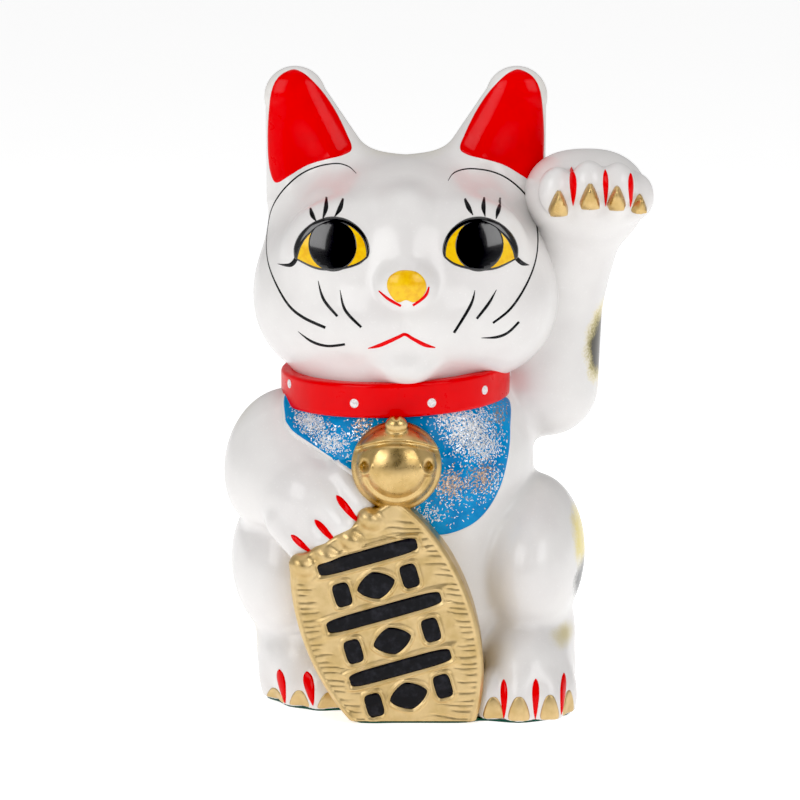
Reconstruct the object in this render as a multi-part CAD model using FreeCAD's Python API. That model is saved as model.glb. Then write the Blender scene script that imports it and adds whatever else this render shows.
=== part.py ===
"""Beckoning cat coin bank in glazed earthenware.

Millimetres, +Z up.  The cat looks along -Y and its raised paw is on the +X side.
The origin is on the underside of the felt, below the middle of the face.
Every clay piece is one closed solid, trimmed to the pieces that it is stuck to.
"""
import FreeCAD, Part
import math
import os
from FreeCAD import Matrix, Placement, Rotation, Vector

# ---- driving sizes ------------------------------------------------------------------
WALL = 4.0                      # slip-cast wall
FELT = 1.0                      # felt under the base
NECK_SEAM = 124.0               # height where the head is stuck on the body, under the collar
NECK_CENTRE = (-4.0, -6.0)
NECK_RADIUS = 39.0

BASE_HOLE = Vector(0, 24, 0)    # middle of the coin hole in the base
BASE_HOLE_RADIUS = 14.0
SEAT_RADIUS = 18.0              # recess round the coin hole, for the flange of the plug
SEAT_DEPTH = 3.5
PLUG_GAP = 0.08                 # radial gap between the plug and its hole
FLANGE_THICK = 2.5
PLUG_DEPTH = 9.0                # how far the plug reaches above its flange

SLOT_LENGTH = 38.0              # coin slot in the back of the head
SLOT_WIDTH = 5.0
SLOT_HEIGHT = 170.0

COLLAR_HALF_HEIGHT = 6.4
COLLAR_THICK = 5.0
COLLAR_ROLL = 2.0               # degrees, up on the side of the raised paw

TAIL_RADIUS = 9.5
BIB_THICK = 1.2
BELL_CENTRE = Vector(-3.6, -53, 99.6)
BELL_RADIUS = 15.6
BELL_DEPTH = 13.0
BELL_TILT = 10.0                # degrees, face turned up
BELL_SLIT_RADIUS = 11.9         # the slit runs from one sound hole round to the other

KOBAN_CENTRE = Vector(-7.1, 0, 39.5)
KOBAN_HALF_WIDTH = 32.6
KOBAN_HALF_LENGTH = 57.0
KOBAN_TILT = 21.5               # degrees, top leaning to the cat's right
KOBAN_FRONT = -58.0
KOBAN_BACK = -34.0
PAW_EDGE = Vector(-14.5, 0, 81.5)   # the koban ends under the paw, along a line through here
PAW_SLOPE = 33.0
DISH_DEPTH = 1.0                # face of the koban below its rim
EMBLEM_RELIEF = 0.9             # emblems above the rim
EMBLEM_TILT = 16.0
EMBLEM_ROWS = ((27.0, 19.5), (4.5, 22.5), (-18.0, 20.0))    # height along the koban, half length

DIRECTIONS = 40                 # rays round each level of a lofted form
REACH = 110.0                   # longer than any ray inside a form

os.makedirs("parts", exist_ok=True)


# ---- distances: every form is a few egg shapes that run softly into each other ----------
def egg(x, y, z, centre, radii, turn=0.0):
    """Signed distance to an egg shape, negative inside; turn is in degrees about Y."""
    x, y, z = x - centre[0], y - centre[1], z - centre[2]
    if turn:
        c, s = math.cos(math.radians(turn)), math.sin(math.radians(turn))
        x, z = c * x - s * z, s * x + c * z
    near = math.sqrt((x / radii[0]) ** 2 + (y / radii[1]) ** 2 + (z / radii[2]) ** 2)
    steep = math.sqrt((x / radii[0] ** 2) ** 2 + (y / radii[1] ** 2) ** 2 + (z / radii[2] ** 2) ** 2)
    return near * (near - 1) / max(steep, 1e-6)


def rod(x, y, z, start, end, start_radius, end_radius, flat=1.0):
    """Signed distance to a round-ended tapered rod, squeezed along Y by flat."""
    along = [end[i] - start[i] for i in range(3)]
    point = (x - start[0], y - start[1], z - start[2])
    t = sum(a * b for a, b in zip(point, along)) / sum(a * a for a in along)
    t = min(1.0, max(0.0, t))
    off = [point[i] - t * along[i] for i in range(3)]
    off[1] /= flat
    radius = start_radius + (end_radius - start_radius) * t
    return (math.sqrt(sum(a * a for a in off)) - radius) * flat


def soft(a, b, width):
    """Union of two distances with a fillet of about this width."""
    h = max(width - abs(a - b), 0.0) / width
    return min(a, b) - h * h * width * 0.25


def neck_form(x, y, z):
    return math.hypot(x - NECK_CENTRE[0], y - NECK_CENTRE[1]) - NECK_RADIUS


def head_form(x, y, z):
    side = abs(x)
    d = egg(x, y, z, (0, -2, 169), (54, 45, 42))
    d = soft(d, egg(side, y, z, (28, -9, 154), (29.5, 33, 28)), 16)
    d = soft(d, egg(x, y, z, (0, -38, 151), (25, 14.5, 16)), 16)
    d = soft(d, egg(x, y, z, (0, -40.5, 136.6), (12, 12.6, 9)), 6)
    d = soft(d, egg(side, y, z, (27.5, -32, 182), (15, 8.5, 14)), 14)
    d = soft(d, egg(x, y, z, (0, -49, 170), (10, 6, 8)), 6)
    if z < 150:
        d = soft(d, neck_form(x, y, z), 4)
    return d


def torso_form(x, y, z):
    d = egg(x, y, z, (-1, -3, 92), (51, 46, 44))
    d = soft(d, egg(x, y, z, (0, 6, 40), (57, 50, 50)), 20)
    foot = max(math.hypot(x / 55, (y - 8) / 43) * 46 - 46, z - 30)
    d = soft(d, foot, 16)
    return soft(d, neck_form(x, y, z), 10) if z > 100 else d


def raised_arm_form(x, y, z):
    d = rod(x, y, z, (55, 7, 120), (59.5, 8, 166), 20.5, 18)
    d = soft(d, rod(x, y, z, (60, 6, 168), (70, -2, 190), 17, 18), 10)
    d = soft(d, egg(x, y, z, (73, -10, 197), (19.8, 25, 17.2)), 8)
    return soft(d, egg(x, y, z, (60, -10, 198), (14, 22, 14)), 8)


def holding_arm_form(x, y, z):
    d = rod(x, y, z, (-44.6, -10, 100.2), (-37, -32, 84), 21.2, 18.5)
    d = soft(d, egg(x, y, z, (-50, -14, 87), (20.2, 22, 22)), 12)
    return soft(d, egg(x, y, z, (-29, -44, 77), (16, 13, 12), 40), 10)


# ---- solids from forms -----------------------------------------------------------------
def section(form, centre, z, inset):
    """Closed smooth outline of a form at one height, found along rays from a centre."""
    points = []
    for k in range(DIRECTIONS):
        angle = 2 * math.pi * k / DIRECTIONS
        c, s = math.cos(angle), math.sin(angle)
        inside, outside = 0.0, REACH
        while outside - inside > 0.01:
            middle = (inside + outside) / 2
            if form(centre[0] + middle * c, centre[1] + middle * s, z) < -inset:
                inside = middle
            else:
                outside = middle
        points.append(Vector(centre[0] + inside * c, centre[1] + inside * s, z))
    curve = Part.BSplineCurve()
    curve.interpolate(Points=points, PeriodicFlag=True)
    return Part.Wire([curve.toShape()])


def spread(low, high, count):
    """Levels from low to high, closer together at both ends, where the form curves in."""
    middle, half = (low + high) / 2, (high - low) / 2
    return [middle - half * math.cos(math.pi * k / (count - 1)) for k in range(count)]


def form_solid(form, axis, levels, inset=0.0):
    """Loft through a form's sections; axis gives the ray centre at a height."""
    wires = [section(form, axis(z), z, inset) for z in levels]
    return Part.makeLoft(wires, True)


def egg_solid(centre, radii, turn=0.0):
    """Egg-shaped solid; turn is in degrees about Y."""
    size = Matrix()
    size.scale(*radii)
    solid = Part.makeSphere(1.0).transformGeometry(size)
    solid.Placement = Placement(Vector(*centre), Rotation(Vector(0, 1, 0), turn))
    return solid


def slab(z_low, z_high):
    """Wide block between two heights, for trimming."""
    return Part.makeBox(400, 400, z_high - z_low, Vector(-200, -200, z_low))


def joined(pieces):
    """One solid from overlapping pieces, added one at a time."""
    whole = pieces[0]
    for piece in pieces[1:]:
        whole = whole.fuse(piece)
    return whole


def trimmed(solid, neighbours):
    """A solid without what its neighbours take up; crumbs under 5 mm3 are dropped."""
    cut = solid.cut(neighbours)
    kept = [piece for piece in cut.Solids if piece.Volume > 5]
    return kept[0] if len(kept) == 1 else Part.makeCompound(kept)


def largest(shape):
    return max(shape.Solids, key=lambda piece: piece.Volume)


# ---- body ------------------------------------------------------------------------------
HAUNCHES = {"left_haunch": ((47.5, -5, 53), (22.5, 42, 33), 8),
            "right_haunch": ((-46, -1, 50), (22.5, 38, 31), -6)}
FEET = {"left_foot": [((46, -23, 13), (19.4, 37, 22)), ((49.2, -6, 26), (17, 28, 15))],
        "right_foot": [((-39.6, -8, 16), (19, 31, 20))]}


def torso_axis(z):
    return (-1, -2)


def torso():
    return form_solid(torso_form, torso_axis, spread(FELT, NECK_SEAM, 16))


def torso_cavity():
    return form_solid(torso_form, torso_axis, spread(FELT + SEAT_DEPTH + WALL, NECK_SEAM, 14), WALL)


def legs(body):
    """Hollow haunches against the torso, and the feet below them."""
    pieces = {}
    for name, (centre, radii, turn) in HAUNCHES.items():
        hollow = egg_solid(centre, [r - WALL for r in radii], turn)
        pieces[name] = largest(egg_solid(centre, radii, turn).cut([body, hollow]))
    for name, eggs in FEET.items():
        haunch = HAUNCHES[name.replace("foot", "haunch")]
        foot = joined([egg_solid(*egg_shape) for egg_shape in eggs]).common(slab(FELT, NECK_SEAM))
        pieces[name] = largest(foot.cut(body).cut(egg_solid(*haunch)))
    return pieces


def base_hole():
    """Coin hole through the base, with the recess for the flange of the plug."""
    hole = Part.makeCylinder(BASE_HOLE_RADIUS, 40, BASE_HOLE)
    seat = Part.makeCylinder(SEAT_RADIUS, FELT + SEAT_DEPTH, BASE_HOLE)
    return hole.fuse(seat)


def plug():
    """Soft rubber plug: a flange in the recess, a tapered nose and a finger bar below."""
    neck = BASE_HOLE_RADIUS - PLUG_GAP
    seat_top = FELT + SEAT_DEPTH
    flange_low = seat_top - FLANGE_THICK
    nose_top = seat_top + PLUG_DEPTH
    profile = [(0, flange_low), (SEAT_RADIUS - 1, flange_low), (SEAT_RADIUS - 0.6, flange_low + 0.8),
               (SEAT_RADIUS - 0.6, seat_top), (neck, seat_top), (neck, nose_top - 3),
               (neck - 2, nose_top), (0, nose_top)]
    face = Part.Face(Part.makePolygon([Vector(r, 0, z) for r, z in profile + profile[:1]]))
    solid = face.revolve(Vector(0, 0, 0), Vector(0, 0, 1), 360)
    pocket = Part.makeCylinder(SEAT_RADIUS - 6, 1.4, Vector(0, 0, flange_low))
    bar = Part.makeBox(30, 4, 1.4, Vector(-15, -2, flange_low))
    solid = solid.cut(pocket.cut(bar))
    solid.translate(BASE_HOLE)
    return solid


def footprint(inset):
    """Outline of everything that stands on the felt."""
    def standing(x, y, z):
        d = torso_form(x, y, z)
        for centre, radii in FEET["left_foot"] + FEET["right_foot"]:
            d = min(d, egg(x, y, z, centre, radii))
        koban = max(abs(x - 4) - 23, -y - 57, y)
        return min(d, koban)
    return section(standing, (2, -6), FELT + 0.5, inset)


def felt_pad():
    pad = Part.Face(footprint(1.5)).extrude(Vector(0, 0, FELT))
    pad.translate(Vector(0, 0, -FELT - 0.5))
    return pad.cut(Part.makeCylinder(SEAT_RADIUS + 1, 10, BASE_HOLE - Vector(0, 0, 5)))


# ---- head and ears -----------------------------------------------------------------------
def head_axis(z):
    return (-1, -6)


def head_outside():
    return form_solid(head_form, head_axis, spread(NECK_SEAM, 210.8, 18))


def head_cavity():
    return form_solid(head_form, head_axis, spread(NECK_SEAM, 210.8 - WALL, 15), WALL)


def coin_slot():
    return Part.makeBox(SLOT_LENGTH, 60, SLOT_WIDTH,
                        Vector(-SLOT_LENGTH / 2, 20, SLOT_HEIGHT - SLOT_WIDTH / 2))


def ear_form(x, y, z):
    return rod(x, y, z, (32.5, 3, 200), (42.7, 3, 233.2), 22.5, 12, flat=0.55)


def ear_axis(z):
    t = min(1, max(0, (z - 200) / 33))
    return (32.5 + 10.2 * t, 3)


def ear(side):
    """Broad round-tipped ear with a shallow bowl in front; side is +1 for the cat's left."""
    solid = form_solid(ear_form, ear_axis, spread(178, 244.9, 13))
    solid = solid.cut(egg_solid((39, -18.5, 213), (13, 14, 29), 12))
    return solid if side > 0 else solid.mirror(Vector(0, 0, 0), Vector(1, 0, 0))


# ---- arms and tail -------------------------------------------------------------------------
def raised_arm_axis(z):
    t = min(1, max(0, (z - 160) / 35))
    return (56 + 13 * t, 7 - 15 * t)


def raised_arm(inset=0.0):
    return form_solid(raised_arm_form, raised_arm_axis, spread(100.5 + inset, 213.8 - inset, 18), inset)


def holding_arm_axis(z):
    t = min(1, max(0, (z - 66) / 55))
    return (-32 - 13 * t, -41 + 29 * t)


def holding_arm():
    return form_solid(holding_arm_form, holding_arm_axis, spread(66, 120.8, 14))


CLAWS = ((57.4, -33, 198), (69.2, -36, 200.4), (79.1, -34, 199.5), (88, -26, 196))


def claw(place):
    """Small blunt claw that stands out of the paw."""
    body = Part.makeCone(4.6, 1.2, 7.5, Vector(0, 0, 0), Vector(0, -1, -0.15))
    body.translate(Vector(*place) + Vector(0, 3, 0))
    return body


def tail_form(x, y, z):
    d = rod(x, y, z, (2, 50, 15), (24, 53, 18), TAIL_RADIUS, TAIL_RADIUS)
    return soft(d, rod(x, y, z, (24, 53, 18), (37, 46, 42), TAIL_RADIUS, 0.75 * TAIL_RADIUS), 4)


def tail_axis(z):
    t = min(1, max(0, (z - 14) / 28))
    return (16 + 21 * t, 52 - 6 * t)


def tail():
    """Plump short tail, curled up against the back."""
    return form_solid(tail_form, tail_axis, spread(8.2, 48, 14))


# ---- collar, bib, bell and koban -------------------------------------------------------------
def collar():
    """Band round the neck with rounded edges and a slight roll."""
    outer = NECK_RADIUS + COLLAR_THICK
    half = COLLAR_HALF_HEIGHT
    band = Part.makeCylinder(outer, 2 * half, Vector(0, 0, -half))
    band = band.cut(Part.makeCylinder(NECK_RADIUS - 3, 4 * half, Vector(0, 0, -2 * half)))
    edges = [e for e in band.Edges if abs(e.BoundBox.XLength - 2 * outer) < 0.1]
    band = band.makeFillet(2.2, edges)
    band.rotate(Vector(0, 0, 0), Vector(0, 1, 0), -COLLAR_ROLL)
    band.translate(Vector(NECK_CENTRE[0], NECK_CENTRE[1], NECK_SEAM))
    return band


def smooth_prism(outline, y_low, y_high):
    """Smooth closed outline in X and Z, extruded along Y."""
    curve = Part.BSplineCurve()
    curve.interpolate(Points=[Vector(x, y_low, z) for x, z in outline], PeriodicFlag=True)
    return Part.Face(Part.Wire([curve.toShape()])).extrude(Vector(0, y_high - y_low, 0))


BIB_OUTLINE = ((-45.5, 121), (-46.6, 113), (-42, 107.3), (-32.7, 102.5), (-21.9, 96.9), (-8, 86), (2, 75.5),
               (12, 70.6), (22.6, 72.6), (30.3, 77.8), (36.1, 86.6), (39.2, 97.2), (40.4, 107.6), (38.8, 119),
               (20, 121), (-4, 121), (-28, 122))


def chest_form(x, y, z):
    return soft(torso_form(x, y, z), holding_arm_form(x, y, z), 4)


def bib():
    """Thin apron that follows the chest and the shoulder of the lowered arm below the collar."""
    skin = form_solid(chest_form, torso_axis, spread(60, NECK_SEAM, 14), -BIB_THICK)
    return skin.common(smooth_prism(BIB_OUTLINE, -70, -8))


def bell():
    """Round bell with a lip round the middle, two sound holes and a slit between them."""
    ball = egg_solid((0, 0, 0), (BELL_RADIUS, BELL_DEPTH, BELL_RADIUS))
    lip = Part.makeTorus(BELL_RADIUS - 0.6, 1.8, Vector(0, 0, 0), Vector(0, 1, 0))
    crown = egg_solid((0, -5, BELL_RADIUS), (3.6, 3.4, 3.4))
    solid = joined([ball, lip, crown])
    for side in (-1, 1):
        hole = Part.makeCylinder(1.7, 8, Vector(side * BELL_SLIT_RADIUS, -14, 0), Vector(0, 1, 0))
        solid = solid.cut(hole)
    slit = Part.makeTorus(BELL_SLIT_RADIUS, 0.8, Vector(0, -8.6, 0), Vector(0, 1, 0))
    solid = solid.cut(slit.common(Part.makeBox(30, 30, 15, Vector(-15, -25, -16))))
    solid.rotate(Vector(0, 0, 0), Vector(1, 0, 0), -BELL_TILT)
    solid.translate(BELL_CENTRE)
    return solid


def superellipse(half_width, half_height, power=2.5, count=36):
    """Points of a fuller-than-oval outline, as (x, z) pairs."""
    points = []
    for k in range(count):
        angle = 2 * math.pi * k / count
        c, s = math.cos(angle), math.sin(angle)
        points.append((math.copysign(abs(c) ** (2 / power), c) * half_width,
                       math.copysign(abs(s) ** (2 / power), s) * half_height))
    return points


def placed(solid, tilt):
    """Turn a piece made upright about the origin to the koban's place."""
    solid.rotate(Vector(0, 0, 0), Vector(0, 1, 0), -tilt)
    solid.translate(KOBAN_CENTRE)
    return solid


def koban():
    """Oval coin that stands in front of the belly, with a raised rim, cut off under the paw."""
    plate = smooth_prism(superellipse(KOBAN_HALF_WIDTH, KOBAN_HALF_LENGTH, 2), KOBAN_FRONT, KOBAN_BACK)
    dish = smooth_prism(superellipse(KOBAN_HALF_WIDTH - 2.5, KOBAN_HALF_LENGTH - 2.5, 2),
                        KOBAN_FRONT - DISH_DEPTH, KOBAN_FRONT + DISH_DEPTH)
    under_paw = Part.makeBox(120, 60, 60, Vector(-60, KOBAN_FRONT - 20, 0))
    under_paw.rotate(Vector(0, 0, 0), Vector(0, 1, 0), -PAW_SLOPE)
    under_paw.translate(PAW_EDGE)
    return placed(plate.cut(dish), KOBAN_TILT).common(slab(FELT, 200)).cut(under_paw)


def emblem(height, half):
    """A bar over a lozenge between two blocks; all are rounded and raised."""
    below = height - 11.5
    outlines = [(0, height, half, 3.0, 5), (0, below, 7.4, 5.4, 1.45)]
    outlines += [(side * half * 0.68, below, 3.3, 4.7, 4) for side in (-1, 1)]
    pieces = []
    for x, z, half_width, half_height, power in outlines:
        solid = smooth_prism(superellipse(half_width, half_height, power),
                             KOBAN_FRONT - EMBLEM_RELIEF, KOBAN_FRONT + DISH_DEPTH)
        solid.translate(Vector(x, 0, z))
        pieces.append(placed(solid, EMBLEM_TILT))
    return pieces


def emblems():
    pieces = []
    for height, half in EMBLEM_ROWS:
        pieces += emblem(height, half)
    return pieces


# ---- assembly ------------------------------------------------------------------------------
def build():
    body = torso()
    head = head_outside()
    nodes = legs(body)
    limbs = list(nodes.values())
    nodes["body_shell"] = largest(body.cut([torso_cavity(), base_hole()]))
    nodes["head_shell"] = largest(head.cut([head_cavity(), coin_slot()]))
    nodes["left_ear"] = largest(ear(1).cut(head))
    nodes["right_ear"] = largest(ear(-1).cut(head))

    arm = raised_arm()
    nodes["raised_arm"] = largest(arm.cut([body, head, ear(1), raised_arm(WALL)]))
    nodes["raised_paw_claws"] = trimmed(Part.makeCompound([claw(place) for place in CLAWS]), [arm])
    held = holding_arm()
    nodes["holding_arm"] = largest(held.cut([body, head] + limbs))
    nodes["tail"] = largest(tail().cut([body] + limbs))

    band = collar()
    nodes["collar"] = largest(band.cut([body, head, held, arm]))
    cloth = bib().cut([body, head, held, arm, band])
    nodes["bib"] = largest(cloth)
    coin = koban()
    nodes["koban"] = largest(coin.cut([body, held, cloth] + limbs))
    signs = Part.makeCompound(emblems()).common(slab(FELT + 1, 200))
    nodes["koban_emblems"] = trimmed(signs, [coin, held])
    nodes["bell"] = largest(bell().cut([body, head, band, cloth, held, coin]))

    nodes["felt_base_pad"] = felt_pad()
    nodes["stopper"] = plug()
    return nodes


def main():
    for name, shape in build().items():
        box = shape.BoundBox
        print("%-18s solids %d  valid %s  volume %9.1f  x %6.1f %6.1f  y %6.1f %6.1f  z %6.1f %6.1f" % (
            name, len(shape.Solids), shape.isValid(), shape.Volume,
            box.XMin, box.XMax, box.YMin, box.YMax, box.ZMin, box.ZMax))
        shape.exportStep("parts/%s.step" % name)


main()
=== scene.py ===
"""Looks of the beckoning cat: glazed skins, enamel paint, gold lustre, felt and rubber.

The forms below are in millimetres in the frame of the CAD model: the cat looks along -Y.
metres() turns them into Blender's metres.  Every surface is the zero level of a distance
form, so that skins and paint follow one shape exactly.
"""
import math
import bpy
import numpy as np
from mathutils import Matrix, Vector
from mathutils.geometry import delaunay_2d_cdt


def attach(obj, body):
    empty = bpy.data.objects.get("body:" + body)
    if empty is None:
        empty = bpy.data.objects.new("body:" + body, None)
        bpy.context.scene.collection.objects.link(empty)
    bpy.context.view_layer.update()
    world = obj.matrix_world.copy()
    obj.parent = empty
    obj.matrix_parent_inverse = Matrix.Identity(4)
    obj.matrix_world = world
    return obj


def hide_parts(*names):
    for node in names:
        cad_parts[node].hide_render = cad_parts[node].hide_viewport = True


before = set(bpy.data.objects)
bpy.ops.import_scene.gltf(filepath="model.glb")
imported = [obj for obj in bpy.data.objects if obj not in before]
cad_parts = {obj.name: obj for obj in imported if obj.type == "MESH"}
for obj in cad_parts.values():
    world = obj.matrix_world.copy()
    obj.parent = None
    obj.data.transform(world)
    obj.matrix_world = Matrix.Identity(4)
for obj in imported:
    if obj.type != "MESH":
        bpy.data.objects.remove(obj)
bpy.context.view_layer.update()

MM = 0.001
FELT = 1.0
PLUG = (0.0, 24.0)               # middle of the hole in the base
PLUG_SEAT = 4.5                  # top of the recess that the flange of the plug sits in
SEAT_RADIUS = 18.0
HOLE_RADIUS = 14.0
SLOT_HALF = (19.0, 2.5)          # coin slot behind the head
SLOT_HEIGHT = 170.0
HEAD_STEP = 0.9
BODY_STEP = 1.15
FINE_STEP = 0.45
rng = np.random.default_rng(7)


# ---- distance forms: p is an array of x, y and z rows ----
def egg(p, centre, radii, turn=0.0):
    """Egg shape, turned by degrees about Y."""
    x, y, z = p[0] - centre[0], p[1] - centre[1], p[2] - centre[2]
    if turn:
        c, s = math.cos(math.radians(turn)), math.sin(math.radians(turn))
        x, z = c * x - s * z, s * x + c * z
    a, b, c = radii
    near = np.sqrt((x / a) ** 2 + (y / b) ** 2 + (z / c) ** 2)
    steep = np.sqrt((x / a ** 2) ** 2 + (y / b ** 2) ** 2 + (z / c ** 2) ** 2)
    return near * (near - 1) / np.maximum(steep, 1e-6)


def rod(p, start, end, start_radius, end_radius, flat=1.0):
    """Round-ended tapered rod, squeezed along Y by flat."""
    start, end = np.array(start, float), np.array(end, float)
    along = end - start
    off = p - start[:, None]
    t = np.clip(along @ off / (along @ along), 0, 1)
    off = off - along[:, None] * t
    size = np.sqrt(off[0] ** 2 + (off[1] / flat) ** 2 + off[2] ** 2)
    return (size - start_radius - (end_radius - start_radius) * t) * flat


def soft(a, b, width):
    """Union with a fillet."""
    h = np.maximum(width - np.abs(a - b), 0) / width
    return np.minimum(a, b) - h * h * width * 0.25


def carve(a, b, width):
    """a without b, with rounded edges."""
    return -soft(-a, b, width)


def mirrored(p):
    return np.stack([np.abs(p[0]), p[1], p[2]])


# ---- the cat ----
NECK = (-4.0, -6.0, 124.0)
NECK_RADIUS = 39.0


def neck_form(p):
    return np.hypot(p[0] - NECK[0], p[1] - NECK[1]) - NECK_RADIUS


def ear_form(p):
    side = mirrored(p)
    d = rod(side, (32.5, 3, 200), (42.7, 3, 233.2), 22.5, 12, 0.55)
    return carve(d, egg(side, (39, -18.5, 213), (13.8, 14, 30), 12), 3)


def face_form(p):
    side = mirrored(p)
    d = egg(p, (0, -2, 169), (54, 45, 42))
    d = soft(d, egg(side, (28, -9, 154), (29.5, 33, 28)), 16)
    d = soft(d, egg(p, (0, -38, 151), (25, 14.5, 16)), 16)
    d = soft(d, egg(p, (0, -40.5, 136.6), (12, 12.6, 9)), 6)
    d = soft(d, egg(side, (27.5, -32, 182), (15.5, 8.5, 14)), 14)
    d = soft(d, rod(p, (0, -45, 172), (0, -33, 194), 6.5, 7), 10)
    d = soft(d, egg(p, (0, -49.5, 168.5), (8.8, 6, 6.5)), 5)
    return carve(d, rod(p, (0, -56.5, 162), (0, -54.5, 151.5), 0.8, 0.5), 2.5)


def coin_slot(p):
    across = np.maximum(np.abs(p[0]) - SLOT_HALF[0], np.abs(p[2] - SLOT_HEIGHT) - SLOT_HALF[1])
    return np.maximum(across, 30 - p[1])


def head_form(p):
    d = soft(face_form(p), ear_form(p), 9)
    d = np.where(p[2] < 150, soft(d, neck_form(p), 4), d)
    d = carve(d, coin_slot(p), 1.2)
    return np.maximum(d, NECK[2] - p[2])


def torso_form(p):
    d = egg(p, (-1, -3, 92), (51, 46, 44))
    d = soft(d, egg(p, (0, 6, 40), (57, 50, 50)), 20)
    foot = np.maximum(np.hypot(p[0] / 55, (p[1] - 8) / 43) * 46 - 46, p[2] - 30)
    d = soft(d, foot, 16)
    return np.where(p[2] > 100, soft(d, neck_form(p), 10), d)


# toes by the cat's own sides; its left is at x above 0
LEFT_FOOT_TOES = ((32.5, -48), (43.2, -51.5), (54.6, -49.5), (59.6, -40))
RIGHT_FOOT_TOES = ((-25, -33), (-33.5, -35), (-43, -30), (-50.5, -19))
PAW_TOES = ((-17, -50, 84), (-23.5, -52, 76.5), (-31, -51, 70.5), (-39, -48, 67))
RAISED_TOES = ((57, -29, 201), (69, -33, 204), (80, -31, 203), (87.5, -23, 198))


def left_foot(p):
    d = egg(p, (46.2, -20, 14), (20.2, 36, 23))
    d = soft(d, egg(p, (49.4, -6, 26), (17.2, 28, 15.5)), 5)
    for x, y in LEFT_FOOT_TOES:
        d = soft(d, egg(p, (x, y, 6), (6.4, 8, 11.5)), 5)
    return d


def right_foot(p):
    d = egg(p, (-39.6, -8, 16), (19, 29, 20))
    for x, y in RIGHT_FOOT_TOES:
        d = soft(d, egg(p, (x, y, 6), (6.2, 7.5, 10)), 5)
    return d


def holding_arm(p):
    d = rod(p, (-44.6, -10, 100.2), (-37, -32, 84), 21.2, 18.5)
    d = soft(d, egg(p, (-50, -14, 87), (20.2, 22, 22)), 12)
    d = soft(d, egg(p, (-31, -41, 79), (15, 11, 12), 40), 10)
    for x, y, z in PAW_TOES:
        d = soft(d, rod(p, (x - 7, y + 7, z + 8), (x, y, z), 7.5, 6.3), 3)
    return d


def raised_arm(p):
    d = rod(p, (55, 7, 120), (59.5, 8, 166), 20.5, 18)
    d = soft(d, rod(p, (60, 6, 168), (70, -2, 190), 17, 18), 10)
    d = soft(d, egg(p, (73, -9, 197), (19.8, 23, 17.2)), 8)
    d = soft(d, egg(p, (60, -9, 198), (14, 20, 14)), 8)
    for x, y, z in RAISED_TOES:
        d = soft(d, egg(p, (x, y, z), (6.8, 6.5, 9)), 4)
    return d


def chest_form(p):
    return soft(torso_form(p), holding_arm(p), 4)


def tail_form(p):
    d = rod(p, (2, 50, 15), (24, 53, 18), 9.5, 9.5)
    return soft(d, rod(p, (24, 53, 18), (37, 46, 42), 9.5, 7.1), 4)


def base_hole(p):
    across = np.hypot(p[0] - PLUG[0], p[1] - PLUG[1])
    seat = np.maximum(across - SEAT_RADIUS, p[2] - PLUG_SEAT)
    return np.minimum(seat, np.maximum(across - HOLE_RADIUS, p[2] - 30))


def body_form(p):
    d = torso_form(p)
    d = soft(d, egg(p, (47.5, -5, 53), (22.5, 42, 33), 8), 5)
    d = soft(d, egg(p, (-46, -1, 50), (22.5, 38, 31), -6), 5)
    d = soft(d, left_foot(p), 5)
    d = soft(d, right_foot(p), 5)
    d = np.maximum(d, p[2] - NECK[2])
    d = soft(d, holding_arm(p), 4)
    d = soft(d, raised_arm(p), 8)
    d = soft(d, tail_form(p), 4)
    d = carve(d, base_hole(p), 0.8)
    return np.maximum(d, FELT - p[2])


# ---- collar, bell and coin ----
COLLAR_RADIUS = 41.5
COLLAR_HALF = (1.6, 5.2)        # half thickness and half height, inside the rounding
COLLAR_ROUND = 1.4
COLLAR_ROLL = 0.035             # slope up to the side of the raised paw


def rounded(across, along, radius):
    """Distance to a section with rounded corners, from the distances to its two pairs of sides."""
    outside = np.hypot(np.maximum(across, 0), np.maximum(along, 0))
    return outside + np.minimum(np.maximum(across, along), 0) - radius


def collar_form(p):
    x, y, z = p[0] - NECK[0], p[1] - NECK[1], p[2] - NECK[2]
    z = z - COLLAR_ROLL * x
    across = np.abs(np.hypot(x, y) - COLLAR_RADIUS) - COLLAR_HALF[0]
    return rounded(across, np.abs(z) - COLLAR_HALF[1], COLLAR_ROUND)


BELL = (-3.6, -53.0, 99.6)
BELL_TILT = math.radians(10)    # face turned up
BELL_HOLES = (12.0, 0.3)        # x to each side, z
BELL_SLIT = 11.9                # radius of the slit that runs from hole to hole


def bump(value, width):
    """Smooth hump of height 1."""
    return np.exp(-(value / width) ** 2)


def step_up(value, width):
    """0 below, 1 above, with a smooth change over width."""
    t = np.clip(value / width, 0, 1)
    return t * t * (3 - 2 * t)


def bell_form(p):
    x, y, z = p - np.array(BELL)[:, None]
    c, s = math.cos(BELL_TILT), math.sin(BELL_TILT)
    y, z = c * y - s * z, s * y + c * z
    q = np.stack([x, y, z])
    ring = np.hypot(x, z)
    d = soft(egg(q, (0, 0, 0), (15.3, 13, 15.3)), np.hypot(ring - 15.2, (y - 1.2) * 0.8) - 1.9, 1.6)
    arch = np.hypot(x, z + 29.9) - 39.1
    relief = 0.9 * step_up(arch, 0.9) * (1 - 0.5 * step_up(arch - 1, 3)) - 0.35 * bump(arch + 0.7, 0.7)
    relief += 0.5 * step_up(BELL_SLIT - 1 - ring, 2) * step_up(-arch, 2)
    relief -= 0.85 * bump(ring - BELL_SLIT, 1.0) * step_up(-z - 1.5, 2.5)
    for side in (-1, 1):
        hole = np.hypot(x - side * BELL_HOLES[0], (z - BELL_HOLES[1]) * 0.72)
        relief += 0.75 * bump(hole - 2.3, 0.65) * step_up(2.2 - z, 3) - 1.9 * bump(hole, 1.25)
    d = d - relief * step_up(1 - y, 3)
    eye = rod(q, (0, -10.5, 18), (0, -4, 19.5), 0.5, 0.8)
    return soft(d, carve(egg(q, (0, -6.5, 15.6), (4.2, 3.6, 3.6)), eye, 0.8), 1.6)


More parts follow.
